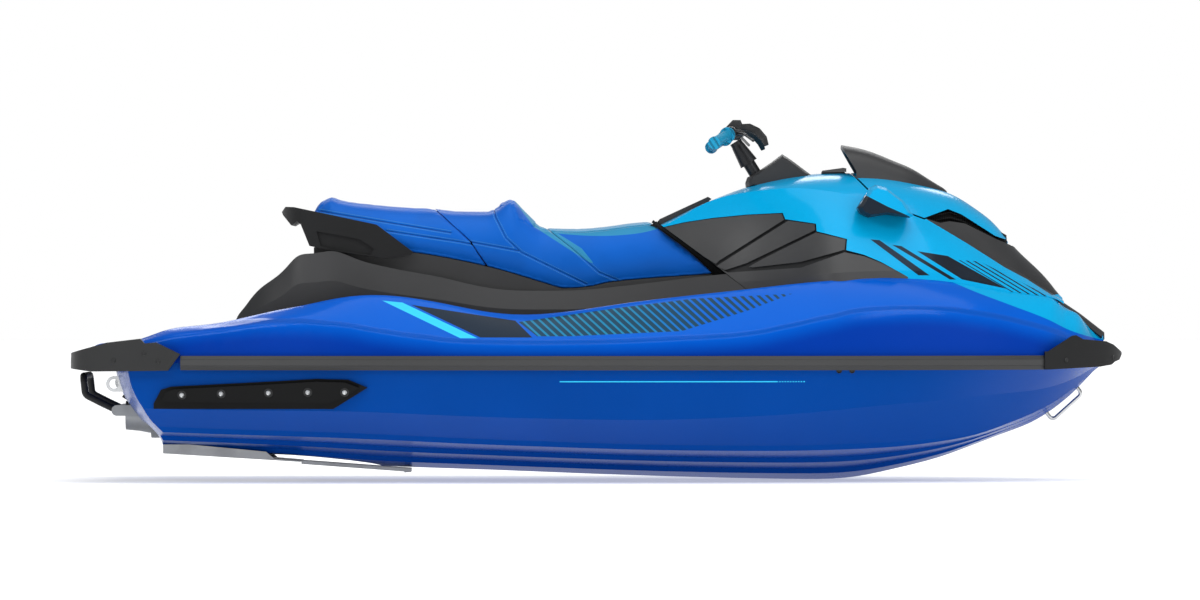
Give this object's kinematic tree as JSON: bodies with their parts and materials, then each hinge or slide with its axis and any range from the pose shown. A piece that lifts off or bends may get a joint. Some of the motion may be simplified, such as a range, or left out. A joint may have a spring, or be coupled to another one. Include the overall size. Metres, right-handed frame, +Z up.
{
  "type": "personal watercraft",
  "caption": "Runabout personal watercraft with a jet drive: decked hull, long straddle seat, handlebar, lifting front hood over a storage tub, folding boarding step.",
  "frame": {"origin": "amidships on the centre plane, at the height of the water when the craft floats at rest", "axes": "+X to the bow, +Y to port, +Z up"},
  "size_m": [3.35, 1.2272, 1.1514],
  "materials": {
    "hull_blue": "glossy gelcoat",
    "deck_blue": "glossy gelcoat",
    "cowl_cyan": "glossy gelcoat",
    "trim_grey": "satin moulded plastic",
    "bumper_grey": "satin",
    "seat_vinyl": "grained vinyl",
    "mat_foam": "ribbed foam",
    "cast_alloy": "cast and painted",
    "stainless": "brushed",
    "grip_cyan": "ribbed",
    "black_plastic": "fine grained",
    "screen": "glossy",
    "engine_block": "cast"
  },
  "bodies": {
    "craft": {"hull": "hull_blue", "deck": "deck_blue", "rub_rail": "bumper_grey", "bow_bumper": "bumper_grey", "stern_bumper": "bumper_grey", "sponson_left": "trim_grey", "sponson_right": "trim_grey", "seat_base": "trim_grey", "rear_seat": "seat_vinyl", "front_seat": "seat_vinyl", "grab_handle": "trim_grey", "front_cowl": "cowl_cyan", "knee_panels": "trim_grey", "cowl_liner": "black_plastic", "nose_spine": "trim_grey", "nose_strip": "trim_grey", "hood_hinge": "stainless", "storage_tub": "black_plastic", "glovebox_bin": "black_plastic", "steering_cover": "trim_grey", "display": "screen", "engine": "engine_block", "pump_housing": "cast_alloy", "ride_plate": "cast_alloy", "intake_grate": "cast_alloy", "step_brackets": "stainless", "stern_eyes": "stainless", "bow_eye": "stainless", "deck_mats": "mat_foam"},
    "steering_bar": {"steering_column": "black_plastic", "handlebar": "stainless", "grips": "grip_cyan", "bar_pad": "trim_grey", "hand_controls": "black_plastic"},
    "hood_body": {"hood": "cowl_cyan", "visor": "trim_grey", "mirror_left": "trim_grey", "mirror_right": "trim_grey"},
    "glovebox_cover": {"glovebox_lid": "trim_grey"},
    "rotor": {"impeller": "stainless", "drive_shaft": "stainless"},
    "trim_gimbal": {"trim_ring": "cast_alloy"},
    "nozzle_body": {"steering_nozzle": "cast_alloy"},
    "reverse_gate": {"reverse_bucket": "cast_alloy"},
    "step_frame": {"boarding_step": "stainless"}
  },
  "joints": [
    {"name": "steering", "type": "hinge", "parent": "craft", "child": "steering_bar", "pos_m": [0.49999, 0, 0.71405], "axis": [-0.53, 0, 0.848], "range_deg": [-25, 25]},
    {"name": "hood_lift", "type": "hinge", "parent": "craft", "child": "hood_body", "pos_m": [1.2998, 0, 0.49302], "axis": [0, 1, 0], "range_deg": [0, 50]},
    {"name": "glovebox", "type": "hinge", "parent": "craft", "child": "glovebox_cover", "pos_m": [0.357, 0, 0.636], "axis": [0, 1, 0], "range_deg": [0, 70]},
    {"name": "impeller_spin", "type": "hinge", "parent": "craft", "child": "rotor", "pos_m": [-1.42509, 0, -0.062], "axis": [1, 0, 0], "continuous": true},
    {"name": "jet_trim", "type": "hinge", "parent": "craft", "child": "trim_gimbal", "pos_m": [-1.42509, 0, -0.062], "axis": [0, 1, 0], "range_deg": [-8, 8]},
    {"name": "jet_steer", "type": "hinge", "parent": "trim_gimbal", "child": "nozzle_body", "pos_m": [-1.42509, 0, -0.062], "axis": [0, 0, 1], "range_deg": [-22, 22]},
    {"name": "reverse_gate_lower", "type": "hinge", "parent": "craft", "child": "reverse_gate", "pos_m": [-1.42509, 0, -0.062], "axis": [0, -1, 0], "range_deg": [0, 68]},
    {"name": "step_fold", "type": "hinge", "parent": "craft", "child": "step_frame", "pos_m": [-1.53799, 0, -0.04404], "axis": [0, -1, 0], "range_deg": [0, 115], "stiffness_Nm_per_rad": 3, "springref_deg": -57.3}
  ],
  "couplings": [
    {"joint": "jet_steer", "follows": "steering", "ratio": -0.88}
  ]
}
